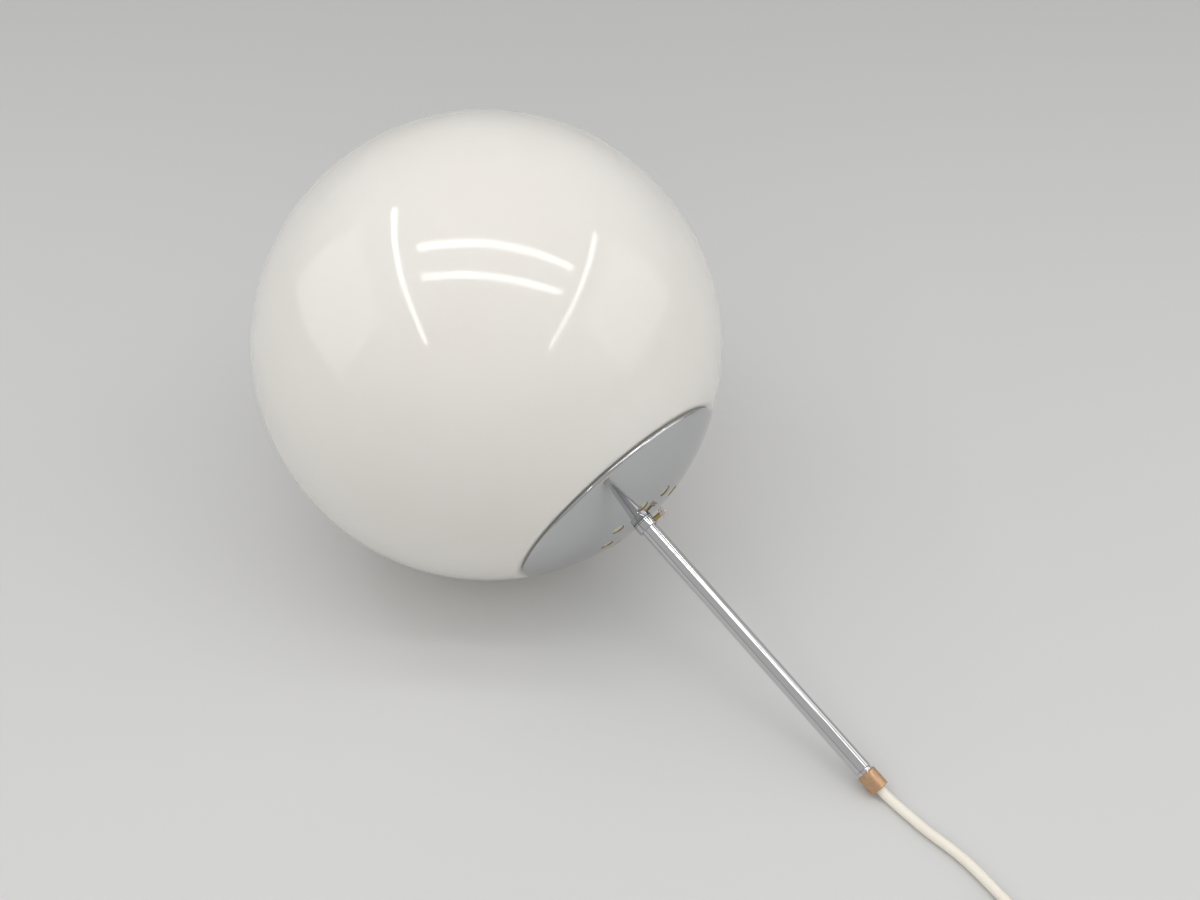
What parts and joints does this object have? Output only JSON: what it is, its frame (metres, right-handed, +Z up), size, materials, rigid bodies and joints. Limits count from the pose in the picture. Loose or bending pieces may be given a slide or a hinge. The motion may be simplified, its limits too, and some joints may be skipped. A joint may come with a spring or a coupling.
{
  "type": "globe pendant lamp",
  "caption": "Opal glass globe lamp on a thin chromed stem, closed by a vented mirror cap, laid on its side with its cord run out to a tied coil.",
  "frame": {"origin": "middle of the lamp's box without its cord, on the floor it lies on", "axes": "+X from the globe towards the rod's end, +Z up, the lamp lying on its side with the globe and the end cap on Z = 0"},
  "size_m": [0.6746, 0.3, 0.3],
  "materials": {
    "opal_glass": "white opal glass, glossy, lit through the wall only faintly",
    "chrome": "mirror chrome plate",
    "satin_steel": "plain zinc plated steel",
    "spring_steel": "dark spring wire",
    "brass": "plain brass",
    "nickel_screw": "warm nickel plate",
    "brown_cap": "copper brown anodised, satin",
    "rubber": "black rubber",
    "grip_rubber": "grey rubber",
    "cord": "cream white sheath, smooth",
    "core_a": "brown core insulation",
    "ceramic": null,
    "socket_body": "white thermoset",
    "bulb_glass": "frosted glass",
    "bulb_metal": "bulb cap",
    "black_glass": "black insulator",
    "tie": "off-white strap"
  },
  "bodies": {
    "stem": {"rod_tube": "chrome", "rod_end_bush": "chrome", "rod_end_cap": "brown_cap", "cord_grip_ring": "grip_rubber", "rod_cord": "cord", "lamp_cores": "core_a", "holder_hub": "satin_steel", "holder_pins": "satin_steel", "holder_washer": "satin_steel", "holder_nut": "satin_steel", "arm_spring_1": "spring_steel", "arm_spring_2": "spring_steel", "arm_spring_3": "spring_steel", "socket_cap": "socket_body", "socket_skirt": "socket_body", "socket_insert": "ceramic", "socket_thread_shell": "brass", "socket_centre_contact": "brass", "socket_terminals": "brass", "terminal_screws": "satin_steel", "mains_cord": "cord", "cord_coil": "cord", "cord_tie": "tie", "cord_cores": "core_a", "core_ferrules": "satin_steel"},
    "cap": {"cap_dome": "chrome", "cap_collar": "chrome", "cap_ring_nut": "satin_steel"},
    "thumb_screw": {"thumb_screw": "nickel_screw"},
    "globe": {"glass_globe": "opal_glass"},
    "arm_1": {"holder_arm_1": "satin_steel", "arm_tip_1": "rubber"},
    "arm_2": {"holder_arm_2": "satin_steel", "arm_tip_2": "rubber"},
    "arm_3": {"holder_arm_3": "satin_steel", "arm_tip_3": "rubber"},
    "bulb": {"bulb_glass": "bulb_glass", "bulb_base": "bulb_metal", "bulb_insulator": "black_glass", "bulb_contact": "bulb_metal"}
  },
  "joints": [
    {"name": "cap_slide", "type": "slide", "parent": "stem", "child": "cap", "axis": [0.9197, 0, -0.3927], "range_m": [0, 0.07]},
    {"name": "thumb_screw_turn", "type": "hinge", "parent": "cap", "child": "thumb_screw", "pos_m": [0.04764, 0, 0.08897], "axis": [0.2252, 0.8192, 0.5275], "range_deg": [0, 720]},
    {"name": "globe_turn", "type": "hinge", "parent": "stem", "child": "globe", "pos_m": [-0.09531, 0, 0.15], "axis": [0.9197, 0, -0.3927], "continuous": true},
    {"name": "bulb_unscrew", "type": "slide", "parent": "stem", "child": "bulb", "axis": [-0.9197, 0, 0.3927], "range_m": [0, 0.03]},
    {"name": "arm_fold_1", "type": "hinge", "parent": "stem", "child": "arm_1", "pos_m": [-0.01482, 0, 0.07867], "axis": [0, 1, 0], "range_deg": [0, 85], "stiffness_Nm_per_rad": 0.08, "springref_deg": -34.38, "deforming": ["arm_spring_1"]},
    {"name": "arm_fold_2", "type": "hinge", "parent": "stem", "child": "arm_2", "pos_m": [0.00521, 0.02944, 0.12557], "axis": [0.3401, -0.5, 0.7965], "range_deg": [0, 85], "stiffness_Nm_per_rad": 0.08, "springref_deg": -34.38, "deforming": ["arm_spring_2"]},
    {"name": "arm_fold_3", "type": "hinge", "parent": "stem", "child": "arm_3", "pos_m": [0.00521, -0.02944, 0.12557], "axis": [-0.3401, -0.5, -0.7965], "range_deg": [0, 85], "stiffness_Nm_per_rad": 0.08, "springref_deg": -34.38, "deforming": ["arm_spring_3"]}
  ]
}
